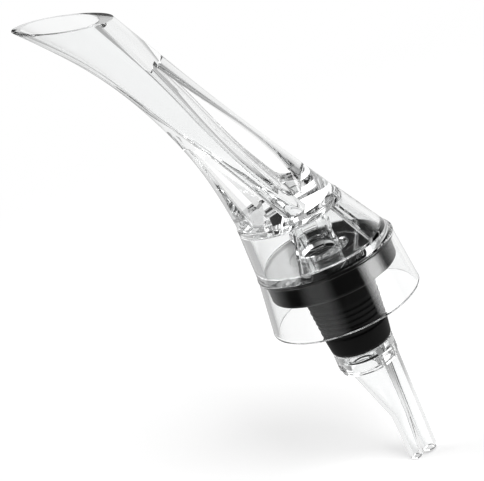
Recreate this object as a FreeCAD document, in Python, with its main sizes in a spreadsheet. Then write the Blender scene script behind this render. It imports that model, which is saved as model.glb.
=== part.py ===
import FreeCAD, Part
import math
import os
import Sketcher
from FreeCAD import Placement, Rotation, Vector
from types import SimpleNamespace

# Pouring spout with an aeration chamber, pressed into a bottle's neck.
# The origin is the centre of the stopper flange's underside, where the bottle's mouth sits.
# Z points up the spout, the beak leans towards -X, and XZ is the plane of symmetry.

# Driving dimensions in millimetres
SIZES = {
    # Stopper
    "flange_inset": 0.1,
    "flange_thickness": 7.6,
    "flange_edge_rounding": 1.6,
    "plug_root_radius": 11.3,
    "plug_tip_radius": 9.4,
    "plug_length": 22.7,
    "ring_first_depth": 6.0,
    "ring_spacing": 1.75,
    "ring_height": 0.45,
    # Bell
    "belt_wall": 1.55,
    "rim_flare": 2.0,
    "rim_depth": 9.8,
    "rim_wall": 1.5,
    "shoulder_radius": 15.6,
    "shoulder_forward": 5.2,
    "chamber_height": 15.1,
    "chamber_wall": 2.3,
    "roof_thickness": 2.6,
    "shoulder_rounding": 0.6,
    "rib_width": 1.1,
    "rib_height": 1.0,
    # Chamber plate
    "plate_radius": 19.4,
    "plate_thickness": 2.4,
    "seat_clearance": 0.05,
    "boss_radius": 10.6,
    "boss_depth": 1.2,
    "spigot_radius": 7.6,
    "wine_bore_radius": 5.1,
    "wine_bore_forward": 1.3,
    "air_bore_radius": 1.0,
    "air_bore_back": 6.1,
    "spigot_seat_depth": 3.0,
    # Aerator core
    "core_radius": 6.3,
    "core_wall": 1.2,
    "core_window_width": 4.4,
    "core_window_height": 3.2,
    "core_window_pitch": 5.6,
    # Spout
    "foot_step": 0.3,
    "foot_plug_radius": 12.4,
    "floor_thickness": 1.3,
    "station_spacing": 20.0,
    "lower_front": 23.6,
    "lower_back": 1.4,
    "waist_front": 30.5,
    "waist_back": 12.6,
    "upper_front": 41.5,
    "upper_back": 23.0,
    "lip_front": 57.8,
    "lip_back": 33.4,
    "lower_side": 7.6,
    "waist_side": 7.2,
    "upper_side": 9.2,
    "lip_side": 13.6,
    "mouth_tip": 55.4,
    "mouth_tip_height": 103.2,
    "mouth_heel": 29.2,
    "mouth_heel_height": 96.2,
    "channel_foot_front": 6.4,
    "channel_foot_back": 0.6,
    "channel_lower_front": 17.1,
    "channel_lower_back": 11.8,
    "channel_waist_front": 28.4,
    "channel_waist_back": 19.5,
    "channel_upper_front": 39.7,
    "channel_upper_back": 27.4,
    "channel_lip_front": 55.9,
    "channel_lip_back": 36.2,
    "channel_foot_side": 3.9,
    "channel_side_wall": 1.8,
    "channel_wall": 1.8,
    "wing_thickness": 2.1,
    "front_wing_foot": 4.8,
    "back_wing_foot": 4.6,
    "slot_tip_gap": 0.9,
    "front_slot_length": 27.0,
    "back_slot_rise": 4.8,
    "back_slot_length": 48.0,
    "back_slot_rounding": 2.2,
    "air_hole_radius": 1.2,
    "air_hole_forward": 11.4,
    "air_hole_side": 9.1,
    # Tail
    "collar_radius": 9.3,
    "collar_length": 5.0,
    "step_radius": 8.7,
    "step_length": 1.6,
    "funnel_mouth_front": 7.0,
    "funnel_mouth_back": -6.1,
    "funnel_length": 19.2,
    "funnel_neck_front": 0.5,
    "funnel_neck_back": -5.2,
    "funnel_tip_front": -0.2,
    "funnel_tip_back": -3.9,
    "funnel_swell": 0.3,
    "wine_tube_length": 15.1,
    "tail_wall": 1.1,
    "air_tube_radius": 2.35,
    "air_tube_back": 6.65,
    "air_tube_length": 33.3,
    "tube_wall": 0.9,
}

RING_COUNT = 6
CORE_WINDOW_ROWS = 2
CUT_MARGIN = 1.0

# Where each chamber rib stands at its foot and at its head, in degrees from the beak's side
REAR_RIB_ANGLES = (140.0, 140.0)
FRONT_RIB_ANGLES = (66.0, 86.0)


class Size:
    """A length that carries both its number and its formula in the sheet."""

    def __init__(self, number, formula):
        self.number = number
        self.formula = formula

    def combine(self, other, sign, number):
        return Size(number, "(%s %s %s)" % (self.formula, sign, other.formula))

    def __add__(self, other):
        other = as_size(other)
        return self.combine(other, "+", self.number + other.number)

    def __sub__(self, other):
        other = as_size(other)
        return self.combine(other, "-", self.number - other.number)

    def __mul__(self, other):
        other = as_size(other)
        return self.combine(other, "*", self.number * other.number)

    def __truediv__(self, other):
        other = as_size(other)
        return self.combine(other, "/", self.number / other.number)

    def __neg__(self):
        return as_size(0.0) - self

    def __radd__(self, other):
        return as_size(other) + self

    def __rsub__(self, other):
        return as_size(other) - self


def as_size(value):
    if isinstance(value, Size):
        return value
    return Size(float(value), "%.6f" % value)


def blend(start, end, share):
    """The length that lies at a share of the way from start to end."""
    return start + (end - start) * share


doc = FreeCAD.newDocument("AeratorPourer")
sheet = doc.addObject("Spreadsheet::Sheet", "Sizes")
for row, (name, number) in enumerate(SIZES.items(), start=1):
    cell = "A%d" % row
    sheet.set(cell, str(number))
    sheet.setAlias(cell, name)
doc.recompute()
size = SimpleNamespace(**{name: Size(number, "Sizes." + name) for name, number in SIZES.items()})

# Radii and heights that several pieces share
flange_radius = size.plate_radius - size.flange_inset
seat_radius = size.plate_radius + size.seat_clearance
belt_radius = seat_radius + size.belt_wall
rim_radius = belt_radius + size.rim_flare
plate_bottom = size.flange_thickness
plate_top = plate_bottom + size.plate_thickness
shoulder_level = plate_top + size.chamber_height
roof_bottom = shoulder_level - size.roof_thickness
floor_level = shoulder_level + size.floor_thickness
collar_top = -size.plug_length
collar_bottom = collar_top - size.collar_length
step_bottom = collar_bottom - size.step_length
spigot_bottom = collar_top - size.spigot_seat_depth
slot_reach = size.shoulder_radius + CUT_MARGIN


def new_body(label):
    body = doc.addObject("PartDesign::Body", label)
    body.Label = label
    return body


def origin_plane(body, role):
    for feature in body.Origin.OriginFeatures:
        if feature.Role == role:
            return feature
    raise ValueError("no origin plane " + role)


def new_sketch(body, name, role, height=None):
    """A sketch on an origin plane of its body, raised to a height along the plane's normal."""
    sketch = body.newObject("Sketcher::SketchObject", name)
    sketch.AttachmentSupport = [(origin_plane(body, role), "")]
    sketch.MapMode = "FlatFace"
    if height is not None:
        sketch.AttachmentOffset = Placement(Vector(0, 0, height.number), Rotation())
        sketch.setExpression("AttachmentOffset.Base.z", height.formula)
    return sketch


def bind(sketch, kind, target, value):
    """Adds a dimension of the kind to the target, and ties it to the value's formula."""
    number = sketch.addConstraint(Sketcher.Constraint(kind, *target, value.number))
    sketch.setExpression("Constraints[%d]" % number, value.formula)


def bind_point(sketch, geometry, end, across, along):
    bind(sketch, "DistanceX", (-1, 1, geometry, end), as_size(across))
    bind(sketch, "DistanceY", (-1, 1, geometry, end), as_size(along))


def draw_outline(sketch, corners):
    """A closed outline of straight edges, each corner tied to its own pair of lengths."""
    corners = [(as_size(across), as_size(along)) for across, along in corners]
    points = [Vector(across.number, along.number, 0) for across, along in corners]
    edges = [
        sketch.addGeometry(Part.LineSegment(start, end), False)
        for start, end in zip(points, points[1:] + points[:1])
    ]
    for edge, next_edge in zip(edges, edges[1:] + edges[:1]):
        sketch.addConstraint(Sketcher.Constraint("Coincident", edge, 2, next_edge, 1))
    for edge, (across, along) in zip(edges, corners):
        bind_point(sketch, edge, 1, across, along)


def draw_circle(sketch, across, along, radius):
    centre = Vector(as_size(across).number, as_size(along).number, 0)
    circle = sketch.addGeometry(Part.Circle(centre, Vector(0, 0, 1), radius.number), False)
    bind_point(sketch, circle, 3, across, along)
    bind(sketch, "Radius", (circle,), radius)


def draw_oval(sketch, across, half_across, half_along):
    """An ellipse centred on the sketch's first axis, its two half widths along the axes."""
    centre = Vector(across.number, 0, 0)
    long_half, short_half = half_along, half_across
    far_end = centre + Vector(0, half_along.number, 0)
    side_end = centre - Vector(half_across.number, 0, 0)
    direction = "Vertical"
    if half_across.number > half_along.number:
        long_half, short_half = half_across, half_along
        far_end = centre + Vector(half_across.number, 0, 0)
        side_end = centre + Vector(0, half_along.number, 0)
        direction = "Horizontal"
    oval = sketch.addGeometry(Part.Ellipse(far_end, side_end, centre), False)
    sketch.exposeInternalGeometry(oval)
    long_line, short_line = oval + 1, oval + 2
    sketch.addConstraint(Sketcher.Constraint("PointOnObject", oval, 3, -1))
    bind(sketch, "DistanceX", (-1, 1, oval, 3), across)
    sketch.addConstraint(Sketcher.Constraint(direction, long_line))
    bind(sketch, "Distance", (long_line,), long_half * 2)
    bind(sketch, "Distance", (short_line,), short_half * 2)


def circle_section(body, name, height, across, radius):
    sketch = new_sketch(body, name, "XY_Plane", height)
    draw_circle(sketch, across, 0.0, radius)
    return sketch


def oval_section(body, name, height, front, back, half_width):
    """An ellipse that reaches from front to back along X, both measured towards the beak."""
    sketch = new_sketch(body, name, "XY_Plane", height)
    draw_oval(sketch, -(front + back) / 2, (front - back) / 2, half_width)
    return sketch


def box_section(body, name, height, low_x, high_x, half_width):
    sketch = new_sketch(body, name, "XY_Plane", height)
    draw_outline(sketch, [
        (low_x, -half_width),
        (high_x, -half_width),
        (high_x, half_width),
        (low_x, half_width),
    ])
    return sketch


def loft(body, name, kind, sections, ruled=False):
    feature = body.newObject("PartDesign::" + kind, name)
    feature.Profile = sections[0]
    feature.Sections = sections[1:]
    feature.Ruled = ruled
    return feature


def turn(body, name, kind, corners):
    """Turns an outline of (radius, height) corners about Z, to add or to cut."""
    sketch = new_sketch(body, name + "_outline", "XZ_Plane")
    draw_outline(sketch, corners)
    feature = body.newObject("PartDesign::" + kind, name)
    feature.Profile = sketch
    feature.ReferenceAxis = (sketch, ["V_Axis"])
    feature.Angle = 360.0
    return feature


def pocket(body, name, sketch, depth=None, both_ways=False, reversed_way=False):
    feature = body.newObject("PartDesign::Pocket", name)
    feature.Profile = sketch
    if depth is None:
        feature.Type = "ThroughAll"
    else:
        feature.Type = "Length"
        feature.Length = depth.number
        feature.setExpression("Length", depth.formula)
    if both_ways:
        feature.SideType = "Symmetric"
    feature.Reversed = reversed_way
    return feature


def pad(body, name, sketch, height, reversed_way=False):
    feature = body.newObject("PartDesign::Pad", name)
    feature.Profile = sketch
    feature.Length = height.number
    feature.setExpression("Length", height.formula)
    feature.Reversed = reversed_way
    return feature


def round_edges(body, name, base, chosen, radius):
    """Rounds the edges of the base feature that the test chooses."""
    doc.recompute()
    edges = ["Edge%d" % number for number, edge in enumerate(base.Shape.Edges, start=1) if chosen(edge)]
    feature = body.newObject("PartDesign::Fillet", name)
    feature.Base = (base, edges)
    feature.Radius = radius.number
    feature.setExpression("Radius", radius.formula)
    return feature


def is_ring(edge, radius, height):
    """Whether an edge is a level circle about any upright axis, of this radius and height."""
    curve = edge.Curve
    level = abs(edge.BoundBox.ZMin - height.number) < 0.01 and abs(edge.BoundBox.ZMax - height.number) < 0.01
    return level and hasattr(curve, "Radius") and abs(curve.Radius - radius.number) < 0.01


def build_stopper():
    """Black rubber stopper: a thick flange on a tapered plug with fine rings."""
    body = new_body("stopper")
    bore = size.spigot_radius + size.seat_clearance
    corners = [
        (bore, collar_top),
        (size.plug_tip_radius - size.ring_height, collar_top),
        (size.plug_tip_radius, collar_top + size.ring_height * 2),
    ]
    for ring in reversed(range(RING_COUNT)):
        depth = size.ring_first_depth + size.ring_spacing * ring
        share = depth / size.plug_length
        radius = size.plug_root_radius + (size.plug_tip_radius - size.plug_root_radius) * share
        corners.append((radius, -depth - size.ring_spacing))
        corners.append((radius - size.ring_height, -depth - size.ring_spacing * 0.8))
    corners.append((radius, -depth))
    corners.append((size.plug_root_radius, 0.0))
    corners.append((flange_radius, 0.0))
    corners.append((flange_radius, size.flange_thickness))
    corners.append((size.boss_radius + size.seat_clearance, size.flange_thickness))
    corners.append((size.boss_radius + size.seat_clearance, size.flange_thickness - size.boss_depth))
    corners.append((bore, size.flange_thickness - size.boss_depth))
    rubber = turn(body, "rubber", "Revolution", corners)
    round_edges(body, "flange_rounding", rubber,
                lambda edge: is_ring(edge, flange_radius, as_size(0.0)),
                size.flange_edge_rounding)


def build_chamber_plate():
    """Floor of the chamber, with a boss and the two-bore spigot that carry the stopper."""
    body = new_body("chamber_plate")
    turn(body, "plate_and_spigot", "Revolution", [
        (0.0, spigot_bottom),
        (size.spigot_radius, spigot_bottom),
        (size.spigot_radius, plate_bottom - size.boss_depth),
        (size.boss_radius, plate_bottom - size.boss_depth),
        (size.boss_radius, plate_bottom),
        (size.plate_radius, plate_bottom),
        (size.plate_radius, plate_top),
        (0.0, plate_top),
    ])
    bores = new_sketch(body, "bores", "XY_Plane", plate_top)
    draw_circle(bores, -size.wine_bore_forward, 0.0, size.wine_bore_radius)
    draw_circle(bores, size.air_bore_back, 0.0, size.air_bore_radius)
    pocket(body, "wine_and_air_bores", bores)


def build_aerator_core():
    """Tube in the chamber, with two rows of windows where air is drawn into the wine."""
    body = new_body("aerator_core")
    centre = -size.wine_bore_forward
    rise = roof_bottom - plate_top
    outside = circle_section(body, "tube_circle", plate_top, centre, size.core_radius)
    pad(body, "tube", outside, rise)
    inside = circle_section(body, "bore_circle", roof_bottom, centre, size.core_radius - size.core_wall)
    pocket(body, "tube_bore", inside)
    for row in range(CORE_WINDOW_ROWS):
        middle = plate_top + rise / 2 + size.core_window_pitch * (row - (CORE_WINDOW_ROWS - 1) / 2)
        for name, plane, across in (("side", "XZ_Plane", centre), ("end", "YZ_Plane", as_size(0.0))):
            window = new_sketch(body, "%s_window_%d" % (name, row), plane)
            draw_outline(window, [
                (across - size.core_window_width / 2, middle - size.core_window_height / 2),
                (across + size.core_window_width / 2, middle - size.core_window_height / 2),
                (across + size.core_window_width / 2, middle + size.core_window_height / 2),
                (across - size.core_window_width / 2, middle + size.core_window_height / 2),
            ])
            pocket(body, "%s_windows_%d" % (name, row), window, both_ways=True)


def shell_circle(level):
    """Centre and radius of the chamber's outside at a level between the belt and the shoulder."""
    share = (level - plate_bottom) / (shoulder_level - plate_bottom)
    return -size.shoulder_forward * share, blend(belt_radius, size.shoulder_radius, share)


def build_bell():
    """Clear shell: a slanted chamber that opens into the skirt round the bottle's neck."""
    body = new_body("bell")
    belt_level = plate_bottom
    loft(body, "chamber_outside", "AdditiveLoft", [
        circle_section(body, "belt_circle", belt_level, 0.0, belt_radius),
        circle_section(body, "shoulder_circle", shoulder_level, -size.shoulder_forward,
                       size.shoulder_radius),
    ], ruled=True)
    turn(body, "skirt_outside", "Revolution", [
        (0.0, -size.rim_depth),
        (rim_radius, -size.rim_depth),
        (belt_radius, belt_level),
        (0.0, belt_level),
    ])
    turn(body, "skirt_inside", "Groove", [
        (0.0, -size.rim_depth - CUT_MARGIN),
        (rim_radius - size.rim_wall, -size.rim_depth - CUT_MARGIN),
        (rim_radius - size.rim_wall, -size.rim_depth),
        (seat_radius, plate_bottom),
        (seat_radius, plate_top),
        (0.0, plate_top),
    ])
    inside = [shell_circle(plate_top), shell_circle(roof_bottom)]
    loft(body, "chamber_inside", "SubtractiveLoft", [
        circle_section(body, "inside_%d" % number, level, centre, radius - size.chamber_wall)
        for number, (level, (centre, radius)) in enumerate(zip([plate_top, roof_bottom], inside))
    ], ruled=True)
    opening = new_sketch(body, "roof_opening", "XY_Plane", shoulder_level)
    draw_circle(opening, -size.shoulder_forward, 0.0, size.foot_plug_radius + size.seat_clearance)
    pocket(body, "roof_hole", opening, depth=size.roof_thickness + CUT_MARGIN)
    for side in (-1, 1):
        for name, angles in (("rear", REAR_RIB_ANGLES), ("front", FRONT_RIB_ANGLES)):
            sections = []
            for level, (centre, radius), angle in zip([plate_top, roof_bottom], inside, angles):
                reach = radius - size.chamber_wall
                across = centre - reach * math.cos(math.radians(angle))
                along = reach * (side * math.sin(math.radians(angle)))
                section = new_sketch(body, "%s_rib_section" % name, "XY_Plane", level)
                draw_outline(section, [
                    (across - size.rib_width / 2, along - size.rib_height),
                    (across + size.rib_width / 2, along - size.rib_height),
                    (across + size.rib_width / 2, along + size.rib_height),
                    (across - size.rib_width / 2, along + size.rib_height),
                ])
                sections.append(section)
            loft(body, "%s_rib" % name, "AdditiveLoft", sections, ruled=True)
    round_edges(body, "rim_and_shoulder_rounding", body.Tip,
                lambda edge: is_ring(edge, rim_radius, -size.rim_depth)
                or is_ring(edge, size.shoulder_radius, shoulder_level),
                size.shoulder_rounding)


def build_spout():
    """Flared beak: a lofted horn with its channel, split from two wings by lofted slots."""
    body = new_body("spout")
    foot_radius = size.shoulder_radius - size.foot_step
    levels = [shoulder_level + size.station_spacing * station for station in range(5)]
    fronts = [size.shoulder_forward + foot_radius, size.lower_front, size.waist_front,
              size.upper_front, size.lip_front]
    backs = [size.shoulder_forward - foot_radius, size.lower_back, size.waist_back,
             size.upper_back, size.lip_back]
    sides = [foot_radius, size.lower_side, size.waist_side, size.upper_side, size.lip_side]
    horn_sections = [circle_section(body, "horn_foot", levels[0], -size.shoulder_forward, foot_radius)]
    for station in range(1, 5):
        horn_sections.append(oval_section(body, "horn_section_%d" % station, levels[station],
                                          fronts[station], backs[station], sides[station]))
    loft(body, "horn", "AdditiveLoft", horn_sections)
    plug = circle_section(body, "plug_circle", shoulder_level, -size.shoulder_forward,
                          size.foot_plug_radius)
    pad(body, "foot_plug", plug, size.roof_thickness, reversed_way=True)
    channel_fronts = [size.channel_foot_front, size.channel_lower_front, size.channel_waist_front,
                      size.channel_upper_front, size.channel_lip_front]
    channel_backs = [size.channel_foot_back, size.channel_lower_back, size.channel_waist_back,
                     size.channel_upper_back, size.channel_lip_back]
    channel_sides = [size.channel_foot_side] + [side - size.channel_side_wall for side in sides[1:]]
    channel_levels = [roof_bottom - CUT_MARGIN] + levels[1:]
    loft(body, "channel", "SubtractiveLoft", [
        oval_section(body, "channel_section_%d" % station, level, front, back, side)
        for station, (level, front, back, side)
        in enumerate(zip(channel_levels, channel_fronts, channel_backs, channel_sides))
    ])

    def along_horn(values, heights, level, station):
        share = (level - heights[station]) / (heights[station + 1] - heights[station])
        return blend(values[station], values[station + 1], share)

    front_top = floor_level + size.front_slot_length
    tip_side = along_horn(channel_fronts, channel_levels, front_top, 1) + size.channel_wall
    floor_side = along_horn(channel_fronts, channel_levels, floor_level, 0) + size.channel_wall
    floor_front = along_horn(fronts, levels, floor_level, 0)
    loft(body, "front_slot", "SubtractiveLoft", [
        box_section(body, "front_slot_foot", floor_level, -(floor_front - size.front_wing_foot),
                    -floor_side, slot_reach),
        box_section(body, "front_slot_middle", levels[1], -(size.lower_front - size.wing_thickness),
                    -(size.channel_lower_front + size.channel_wall), slot_reach),
        box_section(body, "front_slot_tip", front_top, -(tip_side + size.slot_tip_gap), -tip_side,
                    slot_reach),
    ])

    back_foot = floor_level + size.back_slot_rise
    back_top = back_foot + size.back_slot_length
    tip_side = along_horn(channel_backs, channel_levels, back_top, 2) - size.channel_wall
    foot_side = along_horn(channel_backs, channel_levels, back_foot, 0) - size.channel_wall
    foot_back = along_horn(backs, levels, back_foot, 0)
    back_slot = loft(body, "back_slot", "SubtractiveLoft", [
        box_section(body, "back_slot_foot", back_foot, -foot_side,
                    -(foot_back + size.back_wing_foot), slot_reach),
        box_section(body, "back_slot_lower", levels[1],
                    -(size.channel_lower_back - size.channel_wall),
                    -(size.lower_back + size.wing_thickness), slot_reach),
        box_section(body, "back_slot_waist", levels[2],
                    -(size.channel_waist_back - size.channel_wall),
                    -(size.waist_back + size.wing_thickness), slot_reach),
        box_section(body, "back_slot_tip", back_top, -tip_side, -(tip_side - size.slot_tip_gap),
                    slot_reach),
    ])
    round_edges(body, "back_slot_rounding", back_slot,
                lambda edge: is_slot_corner(edge, back_foot), size.back_slot_rounding)

    holes = new_sketch(body, "air_hole_circles", "XY_Plane", floor_level)
    for side in (-1, 1):
        draw_circle(holes, -size.air_hole_forward, size.air_hole_side * side, size.air_hole_radius)
    pocket(body, "air_holes", holes, depth=size.floor_thickness + size.roof_thickness + CUT_MARGIN)

    mouth = new_sketch(body, "mouth_outline", "XZ_Plane")
    rise = (size.mouth_tip_height - size.mouth_heel_height) / (size.mouth_tip - size.mouth_heel)
    reach = size.lip_front - size.mouth_tip + CUT_MARGIN
    top = levels[4] + CUT_MARGIN * 2
    draw_outline(mouth, [
        (-size.mouth_tip - reach, size.mouth_tip_height + rise * reach),
        (-size.mouth_heel + reach, size.mouth_heel_height - rise * reach),
        (-size.mouth_heel + reach, top),
        (-size.mouth_tip - reach, top),
    ])
    pocket(body, "mouth", mouth, both_ways=True)


def is_slot_corner(edge, level):
    """Whether an edge runs straight across the beak at the foot of a slot."""
    box = edge.BoundBox
    at_foot = abs(box.ZMin - level.number) < 0.01 and abs(box.ZMax - level.number) < 0.01
    return at_foot and box.XLength < 0.01 and box.YLength > 1.0


def build_tail():
    """Collar under the stopper, with the wine funnel and the air tube side by side."""
    body = new_body("tail")
    turn(body, "collar", "Revolution", [
        (0.0, step_bottom),
        (size.step_radius, step_bottom),
        (size.step_radius, collar_bottom),
        (size.collar_radius, collar_bottom),
        (size.collar_radius, collar_top),
        (size.spigot_radius + size.seat_clearance, collar_top),
        (size.spigot_radius + size.seat_clearance, spigot_bottom),
        (0.0, spigot_bottom),
    ])
    levels = [step_bottom, step_bottom - size.funnel_length]
    levels.append(levels[1] - size.wine_tube_length)
    fronts = [size.funnel_mouth_front, size.funnel_neck_front, size.funnel_tip_front]
    backs = [size.funnel_mouth_back, size.funnel_neck_back, size.funnel_tip_back]
    loft(body, "funnel", "AdditiveLoft", [
        oval_section(body, "funnel_%d" % number, level, front, back,
                     (front - back) / 2 + size.funnel_swell)
        for number, (level, front, back) in enumerate(zip(levels, fronts, backs))
    ], ruled=True)
    air_circle = circle_section(body, "air_tube_circle", step_bottom, size.air_tube_back,
                                size.air_tube_radius)
    pad(body, "air_tube", air_circle, size.air_tube_length, reversed_way=True)
    air_inner = size.air_tube_radius - size.tube_wall
    bore_back = -(size.air_tube_back - air_inner - size.tail_wall)
    bore_fronts = [fronts[0] - size.tail_wall, fronts[1] - size.tail_wall, fronts[2] - size.tube_wall]
    bore_backs = [bore_back, bore_back, backs[2] + size.tube_wall]
    bore_levels = [levels[0], levels[1], levels[2] - CUT_MARGIN]
    loft(body, "funnel_bore", "SubtractiveLoft", [
        oval_section(body, "funnel_bore_%d" % number, level, front, back,
                     (front - back) / 2 + size.funnel_swell)
        for number, (level, front, back) in enumerate(zip(bore_levels, bore_fronts, bore_backs))
    ], ruled=True)
    wine_way = new_sketch(body, "wine_way_circle", "XY_Plane", spigot_bottom)
    draw_circle(wine_way, -size.wine_bore_forward, 0.0, size.wine_bore_radius - size.tail_wall)
    pocket(body, "wine_way", wine_way, depth=spigot_bottom - step_bottom)
    air_way = new_sketch(body, "air_way_circle", "XY_Plane", spigot_bottom)
    draw_circle(air_way, size.air_tube_back, 0.0, air_inner)
    pocket(body, "air_way", air_way)


def check_and_write():
    doc.recompute()
    for item in doc.Objects:
        broken = [word for word in item.State if word in ("Invalid", "Error")]
        if broken:
            raise RuntimeError("%s is %s" % (item.Label, broken))
    os.makedirs("parts", exist_ok=True)
    for item in doc.Objects:
        if item.TypeId != "PartDesign::Body":
            continue
        if item.Shape.isNull() or not item.Shape.isValid():
            raise RuntimeError("%s has no valid shape" % item.Label)
        item.Shape.exportStep("parts/%s.step" % item.Label)
        print(item.Label, "solids", len(item.Shape.Solids), "volume %.1f" % item.Shape.Volume)


build_stopper()
build_chamber_plate()
build_aerator_core()
build_bell()
build_spout()
build_tail()
check_and_write()
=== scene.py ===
import math

import bmesh
import bpy
import numpy as np
from mathutils import Matrix, Vector


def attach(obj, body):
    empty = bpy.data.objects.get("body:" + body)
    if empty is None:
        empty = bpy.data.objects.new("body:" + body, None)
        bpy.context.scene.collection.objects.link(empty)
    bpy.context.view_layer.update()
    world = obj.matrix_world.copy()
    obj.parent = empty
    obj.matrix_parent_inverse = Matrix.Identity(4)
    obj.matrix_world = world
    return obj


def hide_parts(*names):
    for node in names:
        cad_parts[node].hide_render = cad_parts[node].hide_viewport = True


# A clear acrylic pouring spout with an aeration chamber, on a black rubber bottle stopper.
# It stands in the CAD part's frame: Z up the spout, the beak towards -X, XZ the plane of symmetry.

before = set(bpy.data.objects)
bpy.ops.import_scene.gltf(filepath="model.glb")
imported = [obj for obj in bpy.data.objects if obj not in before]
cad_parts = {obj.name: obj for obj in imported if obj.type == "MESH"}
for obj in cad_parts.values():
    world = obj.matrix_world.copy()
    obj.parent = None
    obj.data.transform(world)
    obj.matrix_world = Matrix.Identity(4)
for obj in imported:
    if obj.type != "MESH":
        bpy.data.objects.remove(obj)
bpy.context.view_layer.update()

MM = 0.001

# Sizes in millimetres, as in the part. Fronts and backs are distances towards the beak.

# Stopper
FLANGE_RADIUS = 19.3
FLANGE_THICKNESS = 7.6
FLANGE_ROUNDING = 1.6
PLUG_ROOT_RADIUS = 11.3
PLUG_TIP_RADIUS = 9.4
PLUG_LENGTH = 22.7
RING_COUNT = 6
RING_FIRST_DEPTH = 6.0
RING_SPACING = 1.75
RING_HEIGHT = 0.45

# Bell
RIM_RADIUS = 23.0
RIM_DEPTH = 9.8
RIM_WALL = 1.5
BELT_RADIUS = 21.0
SHOULDER_RADIUS = 15.6
SHOULDER_FORWARD = 5.2
SHOULDER_ROUNDING = 0.6
CHAMBER_HEIGHT = 15.1
CHAMBER_WALL = 2.3
ROOF_THICKNESS = 2.6
RIB_WIDTH = 1.1
RIB_HEIGHT = 1.0

# Chamber plate
PLATE_RADIUS = 19.4
PLATE_THICKNESS = 2.4
BOSS_RADIUS = 10.6
BOSS_DEPTH = 1.2
SPIGOT_RADIUS = 7.6
SPIGOT_SEAT = 3.0
WINE_BORE_RADIUS = 5.1
WINE_BORE_X = -1.3
AIR_BORE_RADIUS = 1.0
AIR_BORE_X = 6.1

# Aerator core
CORE_RADIUS = 6.3
CORE_WALL = 1.2
WINDOW_WIDTH = 4.4
WINDOW_HEIGHT = 3.2
WINDOW_PITCH = 5.6

# Spout, with a value for each level of the horn and of the channel
FOOT_STEP = 0.3
FOOT_PLUG_RADIUS = 12.4
FLOOR_THICKNESS = 1.3
STATION_SPACING = 20.0
HORN_FRONTS = (20.5, 23.6, 30.5, 41.5, 57.8)
HORN_BACKS = (-10.1, 1.4, 12.6, 23.0, 33.4)
HORN_SIDES = (15.3, 7.6, 7.2, 9.2, 13.6)
CHANNEL_FRONTS = (6.4, 17.1, 28.4, 39.7, 55.9)
CHANNEL_BACKS = (0.6, 11.8, 19.5, 27.4, 36.2)
CHANNEL_SIDES = (3.9, 5.8, 5.4, 7.4, 11.8)
CHANNEL_WALL = 1.8
WING_THICKNESS = 2.1
FRONT_WING_FOOT = 4.8
BACK_WING_FOOT = 4.6
FRONT_SLOT_LENGTH = 27.0
BACK_SLOT_RISE = 4.8
BACK_SLOT_LENGTH = 48.0
BACK_SLOT_ROUNDING = 2.2
MOUTH_TIP = (-55.4, 103.2)
MOUTH_HEEL = (-29.2, 96.2)
AIR_HOLE_RADIUS = 1.2
AIR_HOLE_X = -11.4
AIR_HOLE_Y = 9.1

# Tail, with a value for the funnel's mouth, its neck and the tube's tip
COLLAR_RADIUS = 9.3
COLLAR_LENGTH = 5.0
STEP_RADIUS = 8.7
STEP_LENGTH = 1.6
FUNNEL_FRONTS = (7.0, 0.5, -0.2)
FUNNEL_BACKS = (-6.1, -5.2, -3.9)
FUNNEL_LENGTH = 19.2
FUNNEL_SWELL = 0.3
WINE_TUBE_LENGTH = 15.1
TAIL_WALL = 1.1
AIR_TUBE_RADIUS = 2.35
AIR_TUBE_X = 6.65
AIR_TUBE_LENGTH = 33.3
TUBE_WALL = 0.9

# Where the ribs stand at their foot and at their head, in degrees from the beak's side
RIB_ANGLES = ((140.0, 140.0), (66.0, 86.0))

# Sizes in millimetres that only the scene has, or has finer than the part
AIR_GAP = 0.03
RUBBER_ROUNDING = 0.22
PLATE_ROUNDING = 0.15
TAIL_ROUNDING = 0.2
RIM_ROUNDING = 0.5
RIM_CLEAR = 1.0
SEAM_BEAD_HALF = 0.5
SEAM_BEAD_HEIGHT = 0.2
SEAM_CLEAR = 0.6
SEAT_CLEAR = 0.5
WALL_FOOT_CLEAR = 0.5
ROOF_CORNER = 0.3
ROOF_CORNER_CUT = 0.08
CORNER = 0.1
RIB_ROUNDING = 0.3
RIB_BITE = 0.05
HORN_SQUARES = (2.0, 2.0, 2.0, 2.0, 2.0)
CHANNEL_SQUARES = (2.0, 4.0, 4.0, 2.8, 2.0)
FOOT_EDGE = 0.4
SLOT_TIP_GAP = 0.4
SLOT_TIP_ROUNDING = 0.6
SPOUT_EDGE_RADIUS = 0.25

# Where the groove between two rings is deepest, as a share of their spacing
GROOVE_SHARE = 0.8

# How far the cutting and joining tools reach, in millimetres
CUT_MARGIN = 1.0
MOUTH_REACH = 8.0
MOUTH_RISE = 3.0
AIR_HOLE_OVER = 0.5
TUBE_JOIN = 0.5
WAY_OVERLAP = 0.2

# The meshes: counts, and steps and distances in millimetres
SEGMENTS = 160
TUBE_SEGMENTS = 96
HOLE_SEGMENTS = 64
ROW_STEP = 0.6
BELL_STEP = 1.0
ARC_STEPS = 8
SMALL_ARC_STEPS = 6
CORNER_STEPS = 4
CORNER_SHARE = 0.45
STRAIGHT_CORNER = math.radians(168)
AXIS_CLEAR = 0.5
SHARP_ANGLE = math.radians(32)
WELD_DISTANCE = 0.02
MERGE_DISTANCE = 0.0005
BEVEL_SEGMENTS = 3

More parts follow.
